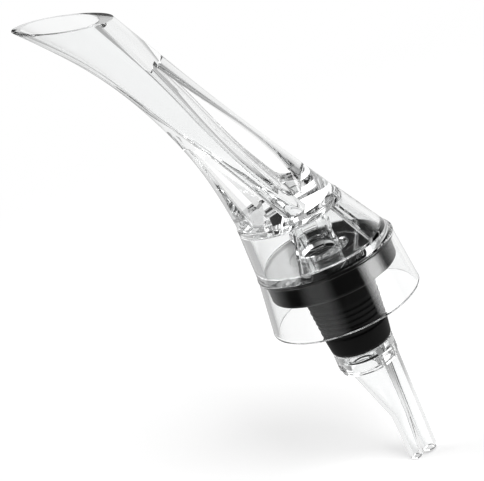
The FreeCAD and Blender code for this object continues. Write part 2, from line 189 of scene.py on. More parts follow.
PLATE_BOTTOM = FLANGE_THICKNESS
PLATE_TOP = PLATE_BOTTOM + PLATE_THICKNESS
SHOULDER_LEVEL = PLATE_TOP + CHAMBER_HEIGHT
ROOF_BOTTOM = SHOULDER_LEVEL - ROOF_THICKNESS
FLOOR_LEVEL = SHOULDER_LEVEL + FLOOR_THICKNESS
COLLAR_TOP = -PLUG_LENGTH
COLLAR_BOTTOM = COLLAR_TOP - COLLAR_LENGTH
STEP_BOTTOM = COLLAR_BOTTOM - STEP_LENGTH
SPIGOT_BOTTOM = COLLAR_TOP - SPIGOT_SEAT
FUNNEL_BOTTOM = STEP_BOTTOM - FUNNEL_LENGTH
TUBE_BOTTOM = FUNNEL_BOTTOM - WINE_TUBE_LENGTH
HORN_LEVELS = tuple(SHOULDER_LEVEL + STATION_SPACING * station for station in range(5))
CHANNEL_LEVELS = (ROOF_BOTTOM - CUT_MARGIN,) + HORN_LEVELS[1:]


# Curves and rings

def spline(knots, values):
    """The natural cubic curve through the values at the knots, as a function."""
    x, y = np.array(knots, float), np.array(values, float)
    count, gaps = len(x), np.diff(x)
    system, right = np.eye(count), np.zeros(count)
    for i in range(1, count - 1):
        system[i, i - 1:i + 2] = gaps[i - 1], 2 * (gaps[i - 1] + gaps[i]), gaps[i]
        right[i] = 3 * ((y[i + 1] - y[i]) / gaps[i] - (y[i] - y[i - 1]) / gaps[i - 1])
    bend = np.linalg.solve(system, right)

    def value(at):
        i = int(np.clip(np.searchsorted(x, at) - 1, 0, count - 2))
        step, gap = at - x[i], gaps[i]
        slope = (y[i + 1] - y[i]) / gap - gap * (2 * bend[i] + bend[i + 1]) / 3
        twist = (bend[i + 1] - bend[i]) / (3 * gap)
        return float(y[i] + slope * step + bend[i] * step ** 2 + twist * step ** 3)

    return value


def linear(knots, values):
    """The straight lines between the values at the knots, as a function."""
    return lambda at: float(np.interp(at, knots, values))


def levels_between(low, high, step=ROW_STEP):
    rows = max(2, int(math.ceil((high - low) / step)) + 1)
    return list(np.linspace(low, high, rows))


def arc(turn, steps):
    """The angles from 0 to the turn in equal steps."""
    return [turn * step / steps for step in range(steps + 1)]


def softened(outline, radius):
    """The outline with each corner rounded by an arc of about the radius."""
    points = [Vector(p) for p in outline]
    result = []
    for before, corner, after in zip(points[-1:] + points[:-1], points, points[1:] + points[:1]):
        back, forth = before - corner, after - corner
        reach = min(radius, back.length * CORNER_SHARE, forth.length * CORNER_SHARE)
        if back.angle(forth) > STRAIGHT_CORNER:
            result.append(tuple(corner))
            continue
        start, end = corner + back.normalized() * reach, corner + forth.normalized() * reach
        for step in range(CORNER_STEPS + 1):
            t = step / CORNER_STEPS
            result.append(tuple(start * (1 - t) ** 2 + corner * 2 * t * (1 - t) + end * t ** 2))
    return result


def oval_ring(centre_x, half_x, half_y, height, count=SEGMENTS, square=2.0):
    """An oval at a height: square 2 is an ellipse, and more gives flatter sides."""
    points = []
    for i in range(count):
        a = 2 * math.pi * i / count
        across, along = math.cos(a), math.sin(a)
        reach = (abs(across) ** square + abs(along) ** square) ** (-1 / square)
        x, y = centre_x + half_x * across * reach, half_y * along * reach
        points.append(Vector((x, y, height)))
    return points


def oval_rings(levels, knots, fronts, backs, sides, squares):
    """Ovals at the levels, from the fronts, backs, sides and squares at the knots."""
    front, back, side = spline(knots, fronts), spline(knots, backs), spline(knots, sides)
    square = linear(knots, squares)
    rings = []
    for level in levels:
        f, b = front(level), back(level)
        rings.append(oval_ring(-(f + b) / 2, (f - b) / 2, side(level), level, square=square(level)))
    return rings


def round_ring(centre_x, radius, height, count=SEGMENTS):
    return oval_ring(centre_x, radius, radius, height, count)


def turned_rings(outline):
    """The rings of an outline of (radius, height) points, without those on the axis."""
    return [round_ring(0.0, radius, height) for radius, height in outline if radius > AXIS_CLEAR]


# Meshes

def mesh_object(name, points, faces):
    mesh = bpy.data.meshes.new(name)
    mesh.from_pydata([tuple(p * MM) for p in points], [], faces)
    mesh.validate()
    piece = bpy.data.objects.new(name, mesh)
    bpy.context.scene.collection.objects.link(piece)
    return piece


def skin(name, rings, closed=False):
    """A skin over rings of the same count, capped at both ends or closed from last to first."""
    count, rows = len(rings[0]), len(rings)
    faces = []
    for row in range(rows if closed else rows - 1):
        low, high = row * count, (row + 1) % rows * count
        for i in range(count):
            j = (i + 1) % count
            faces.append((low + i, low + j, high + j, high + i))
    if not closed:
        faces.append(tuple(reversed(range(count))))
        faces.append(tuple(range((rows - 1) * count, rows * count)))
    return mesh_object(name, [p for ring in rings for p in ring], faces)


def cylinder(name, x, radius, low, high, y=0.0, count=HOLE_SEGMENTS):
    shift = Vector((0, y, 0))
    rings = [[p + shift for p in round_ring(x, radius, level, count)] for level in (low, high)]
    return skin(name, rings)


def block(name, low, high):
    """A box between two corners."""
    corners = [(low[0], low[1]), (high[0], low[1]), (high[0], high[1]), (low[0], high[1])]
    return skin(name, [[Vector((x, y, z)) for x, y in corners] for z in (low[2], high[2])])


def apply_modifiers(piece):
    graph = bpy.context.evaluated_depsgraph_get()
    result = bpy.data.meshes.new_from_object(piece.evaluated_get(graph))
    piece.modifiers.clear()
    old, piece.data = piece.data, result
    bpy.data.meshes.remove(old)


def cut(piece, tools, operation="DIFFERENCE"):
    """Applies the tools to the piece and removes them."""
    for tool in tools:
        modifier = piece.modifiers.new("cut", "BOOLEAN")
        modifier.operation = operation
        modifier.solver = "EXACT"
        modifier.object = tool
        apply_modifiers(piece)
        bpy.data.objects.remove(tool)
    return piece


def round_edges(piece, radius):
    weld = piece.modifiers.new("weld", "WELD")
    weld.merge_threshold = WELD_DISTANCE * MM
    bevel = piece.modifiers.new("bevel", "BEVEL")
    bevel.width = radius * MM
    bevel.segments = BEVEL_SEGMENTS
    bevel.limit_method = "ANGLE"
    bevel.angle_limit = SHARP_ANGLE
    apply_modifiers(piece)
    return piece


def finish_mesh(piece):
    """Cleans the mesh, turns its faces outwards and smooths it up to the sharp angle."""
    work = bmesh.new()
    work.from_mesh(piece.data)
    bmesh.ops.remove_doubles(work, verts=work.verts, dist=MERGE_DISTANCE * MM)
    bmesh.ops.dissolve_degenerate(work, edges=work.edges, dist=MERGE_DISTANCE * MM)
    bmesh.ops.recalc_face_normals(work, faces=work.faces)
    work.to_mesh(piece.data)
    work.free()
    piece.data.shade_smooth()
    piece.data.set_sharp_from_angle(angle=SHARP_ANGLE)
    # Large faces keep their own direction, and the narrow ones round the edges take up the turn
    normals = piece.modifiers.new("normals", "WEIGHTED_NORMAL")
    normals.mode = "FACE_AREA"
    normals.keep_sharp = True
    apply_modifiers(piece)
    return piece


# The stopper, the plate and the core

def make_stopper():
    bore, recess = SPIGOT_RADIUS + AIR_GAP, BOSS_RADIUS + AIR_GAP
    tip, top = COLLAR_TOP + AIR_GAP, FLANGE_THICKNESS - AIR_GAP
    recess_floor = FLANGE_THICKNESS - BOSS_DEPTH - AIR_GAP
    outline = [(bore, tip), (PLUG_TIP_RADIUS - RING_HEIGHT, tip),
               (PLUG_TIP_RADIUS, COLLAR_TOP + RING_HEIGHT * 2)]
    for ring in reversed(range(RING_COUNT)):
        depth = RING_FIRST_DEPTH + RING_SPACING * ring
        radius = PLUG_ROOT_RADIUS + (PLUG_TIP_RADIUS - PLUG_ROOT_RADIUS) * depth / PLUG_LENGTH
        outline.append((radius, -depth - RING_SPACING))
        outline.append((radius - RING_HEIGHT, -depth - RING_SPACING * GROOVE_SHARE))
    outline += [(radius, -depth), (PLUG_ROOT_RADIUS, 0.0)]
    for a in arc(math.pi / 2, ARC_STEPS):
        outline.append((FLANGE_RADIUS - FLANGE_ROUNDING * (1 - math.sin(a)),
                        FLANGE_ROUNDING * (1 - math.cos(a))))
    outline += [(FLANGE_RADIUS, top), (recess, top), (recess, recess_floor), (bore, recess_floor)]
    rings = turned_rings(softened(outline, RUBBER_ROUNDING))
    return finish_mesh(skin("stopper_rubber", rings, closed=True))


def make_plate():
    low, high = SPIGOT_BOTTOM + AIR_GAP, PLATE_TOP - AIR_GAP
    boss_bottom = PLATE_BOTTOM - BOSS_DEPTH
    outline = [(0.0, low), (SPIGOT_RADIUS, low), (SPIGOT_RADIUS, boss_bottom),
               (BOSS_RADIUS, boss_bottom), (BOSS_RADIUS, PLATE_BOTTOM),
               (PLATE_RADIUS, PLATE_BOTTOM), (PLATE_RADIUS, high), (0.0, high)]
    plate = skin("plate_clear", turned_rings(softened(outline, PLATE_ROUNDING)))
    low, high = SPIGOT_BOTTOM - CUT_MARGIN, PLATE_TOP + CUT_MARGIN
    bores = [cylinder("wine_bore", WINE_BORE_X, WINE_BORE_RADIUS, low, high, count=SEGMENTS),
             cylinder("air_bore", AIR_BORE_X, AIR_BORE_RADIUS, low, high)]
    return finish_mesh(cut(plate, bores))


def make_core():
    rows = levels_between(PLATE_TOP + AIR_GAP, ROOF_BOTTOM - AIR_GAP)
    outer = [round_ring(WINE_BORE_X, CORE_RADIUS, z, TUBE_SEGMENTS) for z in rows]
    inner = [round_ring(WINE_BORE_X, CORE_RADIUS - CORE_WALL, z, TUBE_SEGMENTS) for z in rows]
    core = skin("core_clear", outer + inner[::-1], closed=True)
    middle, half, reach = (PLATE_TOP + ROOF_BOTTOM) / 2, WINDOW_WIDTH / 2, CORE_RADIUS + CUT_MARGIN
    windows = []
    for row in (-0.5, 0.5):
        level = middle + WINDOW_PITCH * row
        bottom, top = level - WINDOW_HEIGHT / 2, level + WINDOW_HEIGHT / 2
        for name, half_x, half_y in (("side_windows", half, reach), ("end_windows", reach, half)):
            windows.append(block(name, (WINE_BORE_X - half_x, -half_y, bottom),
                                 (WINE_BORE_X + half_x, half_y, top)))
    return finish_mesh(cut(core, windows))


# The bell

def skirt_radius(level, at_rim, at_plate):
    share = (level + RIM_DEPTH) / (PLATE_BOTTOM + RIM_DEPTH)
    return at_rim + (at_plate - at_rim) * share


def chamber_circle(level, inset=0.0):
    """The X of the centre and the radius of the slanted chamber wall at a level."""
    share = (level - PLATE_BOTTOM) / (SHOULDER_LEVEL - PLATE_BOTTOM)
    radius = BELT_RADIUS + (SHOULDER_RADIUS - BELT_RADIUS) * share
    return -SHOULDER_FORWARD * share, radius - inset


def bell_outside():
    """Points (X of the centre, radius, height) from the rim's edge up to the shoulder."""
    points = []
    for a in arc(math.pi, SMALL_ARC_STEPS):
        radius = RIM_RADIUS - RIM_WALL + RIM_WALL / 2 * (1 - math.cos(a))
        points.append((0.0, radius, -RIM_DEPTH + RIM_ROUNDING * (1 - math.sin(a))))
    low, high = -RIM_DEPTH + RIM_CLEAR, PLATE_BOTTOM - SEAM_BEAD_HALF
    for level in levels_between(low, high, BELL_STEP):
        points.append((0.0, skirt_radius(level, RIM_RADIUS, BELT_RADIUS), level))
    for a in arc(math.pi, ARC_STEPS)[1:-1]:
        radius = BELT_RADIUS + SEAM_BEAD_HEIGHT * math.sin(a)
        points.append((0.0, radius, PLATE_BOTTOM - SEAM_BEAD_HALF * math.cos(a)))
    low, high = PLATE_BOTTOM + SEAM_CLEAR, SHOULDER_LEVEL - SHOULDER_ROUNDING
    for level in levels_between(low, high, BELL_STEP):
        points.append((*chamber_circle(level), level))
    centre, radius = chamber_circle(SHOULDER_LEVEL)
    for a in arc(math.pi / 2, SMALL_ARC_STEPS)[1:]:
        points.append((centre, radius - SHOULDER_ROUNDING * (1 - math.cos(a)),
                       SHOULDER_LEVEL - SHOULDER_ROUNDING * (1 - math.sin(a))))
    return points


def bell_inside():
    """Points (X of the centre, radius, height) from the roof's hole down to the rim."""
    hole, seat = FOOT_PLUG_RADIUS + AIR_GAP, PLATE_RADIUS + AIR_GAP
    centre = chamber_circle(SHOULDER_LEVEL)[0]
    points = [(centre, hole + CORNER, SHOULDER_LEVEL), (centre, hole, SHOULDER_LEVEL - CORNER),
              (centre, hole, ROOF_BOTTOM + CORNER), (centre, hole + CORNER, ROOF_BOTTOM)]
    centre, radius = chamber_circle(ROOF_BOTTOM, CHAMBER_WALL)
    points += [(centre, radius - ROOF_CORNER, ROOF_BOTTOM),
               (centre, radius - ROOF_CORNER_CUT, ROOF_BOTTOM - ROOF_CORNER_CUT)]
    low, high = PLATE_TOP + WALL_FOOT_CLEAR, ROOF_BOTTOM - ROOF_CORNER
    for level in reversed(levels_between(low, high, BELL_STEP)):
        points.append((*chamber_circle(level, CHAMBER_WALL), level))
    centre, radius = chamber_circle(PLATE_TOP, CHAMBER_WALL)
    points += [(centre, radius, PLATE_TOP + CORNER), (centre, radius + CORNER, PLATE_TOP),
               (0.0, seat - CORNER, PLATE_TOP), (0.0, seat, PLATE_TOP - CORNER),
               (0.0, seat, PLATE_BOTTOM)]
    low, high = -RIM_DEPTH + RIM_CLEAR, PLATE_BOTTOM - SEAT_CLEAR
    for level in reversed(levels_between(low, high, BELL_STEP)):
        points.append((0.0, skirt_radius(level, RIM_RADIUS - RIM_WALL, seat), level))
    return points


def make_rib(side, angles):
    """A rib on the chamber wall's inside, from its angle at the foot to that at the head."""
    half = RIB_WIDTH / 2
    corners = softened([(-half, -RIB_HEIGHT), (half, -RIB_HEIGHT),
                        (half, RIB_HEIGHT), (-half, RIB_HEIGHT)], RIB_ROUNDING)
    rings = []
    for level, angle in zip((PLATE_TOP, ROOF_BOTTOM), angles):
        centre, reach = chamber_circle(level, CHAMBER_WALL)
        x = centre - reach * math.cos(math.radians(angle))
        y = reach * math.sin(math.radians(angle)) * side
        rings.append([Vector((x + across, y + along, level + RIB_BITE))
                      for across, along in corners])
    return skin("rib", rings)


def make_bell():
    """Skirt, chamber wall and roof as one turned skin, with the ribs joined on."""
    rings = [round_ring(x, radius, level) for x, radius, level in bell_outside() + bell_inside()]
    bell = skin("bell_clear", rings, closed=True)
    ribs = [make_rib(side, angles) for side in (-1, 1) for angles in RIB_ANGLES]
    return finish_mesh(cut(bell, ribs, "UNION"))


# The spout

def slot_cutter(name, sections, foot_rounding=0.0):
    """A slot through (height, low X, high X) sections, with a tip that closes in an arc."""
    knots, lows, highs = zip(*sections)
    low, high = spline(knots, lows), spline(knots, highs)
    bottom, top = knots[0], knots[-1]
    angles = arc(math.pi / 2, ARC_STEPS)[:-1]
    rows = []
    if foot_rounding:
        rows = [(bottom + foot_rounding * (1 - math.cos(a)), foot_rounding * (1 - math.sin(a)), 0.0)
                for a in angles]
    straight = levels_between(bottom + foot_rounding, top - SLOT_TIP_ROUNDING)
    rows += [(level, 0.0, 0.0) for level in straight]
    rows += [(top - SLOT_TIP_ROUNDING * (1 - math.sin(a)), 0.0, 1 - math.cos(a))
             for a in angles[1:]]
    reach = SHOULDER_RADIUS + CUT_MARGIN
    rings = []
    for level, inset, closing in rows:
        left, right = low(level), high(level)
        inset += (right - left) / 2 * closing
        left, right = left + inset, right - inset
        corners = ((left, -reach), (right, -reach), (right, reach), (left, reach))
        rings.append([Vector((x, y, level)) for x, y in corners])
    return skin(name, rings)


def front_slot():
    """The slot between the channel and the front wing."""
    channel_front = linear(CHANNEL_LEVELS, CHANNEL_FRONTS)
    horn_front = linear(HORN_LEVELS, HORN_FRONTS)
    bottom, top = FLOOR_LEVEL, FLOOR_LEVEL + FRONT_SLOT_LENGTH
    tip = channel_front(top) + CHANNEL_WALL
    return slot_cutter("front_slot", [
        (bottom, -(horn_front(bottom) - FRONT_WING_FOOT), -(channel_front(bottom) + CHANNEL_WALL)),
        (HORN_LEVELS[1], -(HORN_FRONTS[1] - WING_THICKNESS), -(CHANNEL_FRONTS[1] + CHANNEL_WALL)),
        (top, -(tip + SLOT_TIP_GAP), -tip),
    ])


def back_slot():
    """The slot between the channel and the back wing."""
    channel_back = linear(CHANNEL_LEVELS, CHANNEL_BACKS)
    horn_back = linear(HORN_LEVELS, HORN_BACKS)
    bottom = FLOOR_LEVEL + BACK_SLOT_RISE
    top = bottom + BACK_SLOT_LENGTH
    tip = channel_back(top) - CHANNEL_WALL
    return slot_cutter("back_slot", [
        (bottom, -(channel_back(bottom) - CHANNEL_WALL), -(horn_back(bottom) + BACK_WING_FOOT)),
        (HORN_LEVELS[1], -(CHANNEL_BACKS[1] - CHANNEL_WALL), -(HORN_BACKS[1] + WING_THICKNESS)),
        (HORN_LEVELS[2], -(CHANNEL_BACKS[2] - CHANNEL_WALL), -(HORN_BACKS[2] + WING_THICKNESS)),
        (top, -tip, -(tip - SLOT_TIP_GAP)),
    ], BACK_SLOT_ROUNDING)


def mouth_cutter():
    """All that lies above the slanted plane of the mouth."""
    rise = (MOUTH_TIP[1] - MOUTH_HEEL[1]) / (MOUTH_TIP[0] - MOUTH_HEEL[0])
    left, right = MOUTH_TIP[0] - MOUTH_REACH, MOUTH_HEEL[0] + MOUTH_REACH
    top = HORN_LEVELS[-1] + MOUTH_RISE
    corners = [(left, MOUTH_TIP[1] - rise * MOUTH_REACH),
               (right, MOUTH_HEEL[1] + rise * MOUTH_REACH), (right, top), (left, top)]
    reach = SHOULDER_RADIUS + CUT_MARGIN
    return skin("mouth", [[Vector((x, y, z)) for x, z in corners] for y in (reach, -reach)])


def make_spout():
    """The horn on its foot and plug, with the channel, the slots, the mouth and air holes cut."""
    foot = ((FOOT_PLUG_RADIUS, ROOF_BOTTOM), (FOOT_PLUG_RADIUS, SHOULDER_LEVEL),
            (SHOULDER_RADIUS - FOOT_STEP, SHOULDER_LEVEL))
    rings = [round_ring(-SHOULDER_FORWARD, radius, level + AIR_GAP) for radius, level in foot]
    rings += oval_rings(levels_between(SHOULDER_LEVEL + FOOT_EDGE, HORN_LEVELS[-1]),
                        HORN_LEVELS, HORN_FRONTS, HORN_BACKS, HORN_SIDES, HORN_SQUARES)
    spout = skin("spout_clear", rings)
    rings = oval_rings(levels_between(CHANNEL_LEVELS[0], HORN_LEVELS[-1] + CUT_MARGIN),
                       CHANNEL_LEVELS, CHANNEL_FRONTS, CHANNEL_BACKS, CHANNEL_SIDES,
                       CHANNEL_SQUARES)
    tools = [skin("channel", rings), front_slot(), back_slot(), mouth_cutter()]
    for side in (-1, 1):
        tools.append(cylinder("air_hole", AIR_HOLE_X, AIR_HOLE_RADIUS, ROOF_BOTTOM - CUT_MARGIN,
                              FLOOR_LEVEL + AIR_HOLE_OVER, y=AIR_HOLE_Y * side))
    return finish_mesh(round_edges(cut(spout, tools), SPOUT_EDGE_RADIUS))


# The tail

def funnel_skin(name, fronts, backs, levels):
    rings = []
    for f, b, level in zip(fronts, backs, levels):
        half = (f - b) / 2
        rings.append(oval_ring(-(f + b) / 2, half, half + FUNNEL_SWELL, level, TUBE_SEGMENTS))
    return skin(name, rings[::-1])


def make_tail():
    seat = SPIGOT_RADIUS + AIR_GAP
    collar_top, seat_floor = COLLAR_TOP - AIR_GAP, SPIGOT_BOTTOM - AIR_GAP
    outline = [(STEP_RADIUS, STEP_BOTTOM), (STEP_RADIUS, COLLAR_BOTTOM),
               (COLLAR_RADIUS, COLLAR_BOTTOM), (COLLAR_RADIUS, collar_top),
               (seat, collar_top), (seat, seat_floor), (0.0, seat_floor), (0.0, STEP_BOTTOM)]
    tail = skin("tail_clear", turned_rings(softened(outline, TAIL_ROUNDING)))
    funnel = funnel_skin("funnel", FUNNEL_FRONTS, FUNNEL_BACKS,
                         (STEP_BOTTOM + TUBE_JOIN, FUNNEL_BOTTOM, TUBE_BOTTOM))
    air_tube = cylinder("air_tube", AIR_TUBE_X, AIR_TUBE_RADIUS, STEP_BOTTOM - AIR_TUBE_LENGTH,
                        STEP_BOTTOM + TUBE_JOIN)
    cut(tail, [funnel, air_tube], "UNION")

    air_radius = AIR_TUBE_RADIUS - TUBE_WALL
    bore_back = -(AIR_TUBE_X - air_radius - TAIL_WALL)
    fronts = (FUNNEL_FRONTS[0] - TAIL_WALL, FUNNEL_FRONTS[1] - TAIL_WALL,
              FUNNEL_FRONTS[2] - TUBE_WALL)
    backs = (bore_back, bore_back, FUNNEL_BACKS[2] + TUBE_WALL)
    low, high = TUBE_BOTTOM - CUT_MARGIN, SPIGOT_BOTTOM + CUT_MARGIN
    ways = [
        funnel_skin("funnel_bore", fronts, backs, (STEP_BOTTOM, FUNNEL_BOTTOM, low)),
        cylinder("wine_way", WINE_BORE_X, WINE_BORE_RADIUS - TAIL_WALL, STEP_BOTTOM - WAY_OVERLAP,
                 high, count=TUBE_SEGMENTS),
        cylinder("air_way", AIR_TUBE_X, air_radius, low, high),
    ]
    return finish_mesh(cut(tail, ways))


# Materials

CLEAR = (0.985, 0.99, 0.99)
# Painted shade: the grey the clear colour turns to where a surface is seen edge-on, drawing dark
# edge lines
EDGE_PAINTED_SHADE = (0.15, 0.15, 0.15)
EDGE_PAINTED_SHADE_FROM = 0.82
PAINTED_SHADE_FACING_BLEND = 0.5
ACRYLIC_INDEX = 1.49
# Below acrylic's own index, because the photograph shows a calmer foot than a solid block has
SPOUT_INDEX = 1.35
# The scale, the strength and the depth in metres of the noise that makes a surface uneven
WAVE_SCALE, WAVE_STRENGTH, WAVE_DEPTH = 180.0, 0.02, 0.0002
GRAIN_SCALE, GRAIN_STRENGTH, GRAIN_DEPTH = 3500.0, 0.15, 0.00005
RUBBER_DARK = (0.002, 0.002, 0.002)
RUBBER_LIGHT = (0.005, 0.005, 0.005)
RUBBER_CLOUD_SCALE = 120.0
RUBBER_ROUGHNESS = 0.48
RUBBER_SPECULAR = 0.12


def set_inputs(tree, target, inputs):
    """Sets each of a node's inputs to a value, or links it to a socket."""
    for key, value in inputs.items():
        if isinstance(value, bpy.types.NodeSocket):
            tree.links.new(value, target.inputs[key])
        else:
            target.inputs[key].default_value = value


def node(tree, kind, inputs=None, **settings):
    """A new node with its settings and inputs."""
    made = tree.nodes.new(kind)
    for key, value in settings.items():
        setattr(made, key, value)
    set_inputs(tree, made, inputs or {})
    return made


def maths(tree, operation, first, second=0.0):
    return node(tree, "ShaderNodeMath", {0: first, 1: second}, operation=operation).outputs[0]


def vector_maths(tree, operation, *vectors):
    return node(tree, "ShaderNodeVectorMath", dict(enumerate(vectors)), operation=operation).outputs


def ranged(tree, value, low, high, to_low=0.0, to_high=1.0):
    """The value's place between low and high, as one between to_low and to_high."""
    inputs = {"Value": value, "From Min": low, "From Max": high,
              "To Min": to_low, "To Max": to_high}
    return node(tree, "ShaderNodeMapRange", inputs).outputs["Result"]


def ramp(tree, value, first_colour, last_colour, start=0.0):
    """The first colour up to the start, and from there over to the last."""
    made = node(tree, "ShaderNodeValToRGB", {"Fac": value})
    first, last = made.color_ramp.elements
    first.position = start
    first.color, last.color = (*first_colour, 1.0), (*last_colour, 1.0)
    return made.outputs["Color"]


def uneven(tree, where, scale, strength, depth):
    """A normal that a noise of the scale makes uneven."""
    noise = node(tree, "ShaderNodeTexNoise", {"Vector": where, "Scale": scale})
    inputs = {"Height": noise.outputs["Fac"], "Strength": strength, "Distance": depth}
    return node(tree, "ShaderNodeBump", inputs).outputs["Normal"]


def new_material(name):
    material = bpy.data.materials.new(name)
    material.use_nodes = True
    tree = material.node_tree
    return material, tree, tree.nodes["Principled BSDF"]


def acrylic(name, index=ACRYLIC_INDEX):
    """Clear polished acrylic of a refractive index, with a very slight moulding waviness and
    painted edge shade.
    """
    material, tree, shader = new_material(name)
    # Painted shade: the colour goes over to dark grey where the surface is seen edge-on
    edge_shade_mask = node(tree, "ShaderNodeLayerWeight", {"Blend": PAINTED_SHADE_FACING_BLEND}).outputs["Facing"]
    where = node(tree, "ShaderNodeTexCoord").outputs["Object"]
    set_inputs(tree, shader, {
        "Base Color": ramp(tree, edge_shade_mask, CLEAR, EDGE_PAINTED_SHADE, EDGE_PAINTED_SHADE_FROM),
        "Transmission Weight": 1.0,
        "Roughness": 0.0,
        "IOR": index,
        "Normal": uneven(tree, where, WAVE_SCALE, WAVE_STRENGTH, WAVE_DEPTH),
    })
    return material


def rubber(name):
    """Black satin rubber with a fine grain."""
    material, tree, shader = new_material(name)
    where = node(tree, "ShaderNodeTexCoord").outputs["Object"]
    cloud = node(tree, "ShaderNodeTexNoise", {"Vector": where, "Scale": RUBBER_CLOUD_SCALE})
    set_inputs(tree, shader, {
        "Base Color": ramp(tree, cloud.outputs["Fac"], RUBBER_DARK, RUBBER_LIGHT),
        "Roughness": RUBBER_ROUGHNESS,
        "Specular IOR Level": RUBBER_SPECULAR,
        "Normal": uneven(tree, where, GRAIN_SCALE, GRAIN_STRENGTH, GRAIN_DEPTH),
    })
    return material


parts = {
    "spout": (make_spout, acrylic("clear_acrylic_spout", SPOUT_INDEX), "spout_acrylic"),
    "bell": (make_bell, acrylic("clear_acrylic_bell"), "bell_acrylic"),
    "chamber_plate": (make_plate, acrylic("clear_acrylic_inner"), "inner_acrylic"),
    "aerator_core": (make_core, acrylic("clear_acrylic_core"), "inner_acrylic"),
    "stopper": (make_stopper, rubber("black_rubber"), "stopper_rubber"),
    "tail": (make_tail, acrylic("clear_acrylic_tail"), "tail_acrylic"),
}
for cad_node, (make, material, slot_name) in parts.items():
    piece = make()
    piece.data.materials.clear()
    piece.data.materials.append(material)
    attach(piece, "root")
    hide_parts(cad_node)


# The floor and the world. Straight and through clear walls they look white, so that the clear
# pieces stay pale. Reflections see a dark floor and room instead, with a few bright areas that
# draw the edges and highlights.

# In millimetres
FLOOR_BELOW = 64.0
FLOOR_HALF = 3000.0

FLOOR_COLOUR = 0.8
FLOOR_ROUGHNESS = 0.9
FLOOR_LIFT = 0.44

# Limits on the floor in metres, and levels of light
FLOOR_PLAIN_FROM, FLOOR_PLAIN_TO = 0.26, 0.5
MIRRORED_BACK_FROM, MIRRORED_BACK_TO = -0.05, 0.12
MIRRORED_RIGHT_FROM, MIRRORED_RIGHT_TO = -0.12, 0.12
MIRRORED_NEAR_FROM, MIRRORED_NEAR_TO = 0.08, 0.12
MIRRORED_FRONT = 0.03
MIRRORED_LEFT = 0.5
MIRRORED_RIGHT = 0.95
MIRRORED_NEAR = 0.9
# Bright sectors of the mirrored floor: azimuth, half width and soft edge in degrees, brightness
MIRRORED_SECTORS = (
    (-125.0, 10.0, 20.0, 0.6),
    (-28.0, 6.0, 19.0, 6.8),
)
SECTOR_INNER_FROM, SECTOR_INNER_TO = 0.25, 0.3
SECTOR_OUTER_FROM, SECTOR_OUTER_TO = 1.8, 1.85

# The backdrop behind clear walls: a white band with grey gaps, fading upwards. Its wave is a
# cosine round the object, and its heights are sines of the elevation.
BACKDROP_WAVES = 8
BACKDROP_WAVE_FROM, BACKDROP_WAVE_TO = -0.35, 0.1
BACKDROP_FADE_FROM, BACKDROP_FADE_TO = 0.2, 0.4
BACKDROP_GAP = 0.45
BACKDROP_TOP = 0.25
MIRRORED_ROOM = 0.03
MIRRORED_TWICE = 0.35
# Panels that only reflections see: azimuth, half width and soft edge in degrees, sine of the
# elevation of their top, brightness
MIRRORED_PANELS = (
    (90.0, 75.0, 12.0, 0.12, 0.9),
    (150.0, 54.5, 3.0, 0.6, 1.3),
    (107.0, 11.5, 3.0, 0.45, 2.6),
    (-140.0, 32.0, 12.0, 0.35, 0.45),
)
PANEL_FADE = 0.1


def is_mirrored(tree, times=1):
    """1 on a path that was reflected at least so many times, 0 on any other."""
    path = node(tree, "ShaderNodeLightPath")
    return maths(tree, "GREATER_THAN", path.outputs["Glossy Depth"], times - 0.5)


def sector(tree, level, azimuth, half_width, softness, brightness):
    """The brightness within a half width of an azimuth, and 0 beyond the soft edge."""
    angle, half = math.radians(azimuth), math.radians(half_width)
    aim = (math.cos(angle), math.sin(angle), 0)
    flat = vector_maths(tree, "NORMALIZE", level)[0]
    lined = vector_maths(tree, "DOT_PRODUCT", flat, aim)["Value"]
    off = maths(tree, "ARCCOSINE", lined)
    return ranged(tree, off, half, half + math.radians(softness), brightness, 0.0)


def mirrored_floor(tree, where):
    """The light of the floor as reflections see it."""
    reach = vector_maths(tree, "LENGTH", where)["Value"]
    split = node(tree, "ShaderNodeSeparateXYZ", {0: where})
    back = ranged(tree, split.outputs["Y"], MIRRORED_BACK_FROM, MIRRORED_BACK_TO,
                  MIRRORED_FRONT, 1.0)
    right = ranged(tree, split.outputs["X"], MIRRORED_RIGHT_FROM, MIRRORED_RIGHT_TO,
                   MIRRORED_LEFT, MIRRORED_RIGHT)
    near = ranged(tree, reach, MIRRORED_NEAR_FROM, MIRRORED_NEAR_TO, MIRRORED_NEAR, 0.0)
    light = maths(tree, "MAXIMUM", maths(tree, "MULTIPLY", back, right), near)
    level = vector_maths(tree, "MULTIPLY", where, (1, 1, 0))[0]
    belt = maths(tree, "MINIMUM", ranged(tree, reach, SECTOR_INNER_FROM, SECTOR_INNER_TO),
                 ranged(tree, reach, SECTOR_OUTER_FROM, SECTOR_OUTER_TO, 1.0, 0.0))
    for azimuth, half_width, softness, brightness in MIRRORED_SECTORS:
        lit = sector(tree, level, azimuth, half_width, softness, brightness)
        light = maths(tree, "MAXIMUM", maths(tree, "MULTIPLY", lit, belt), light)
    return light


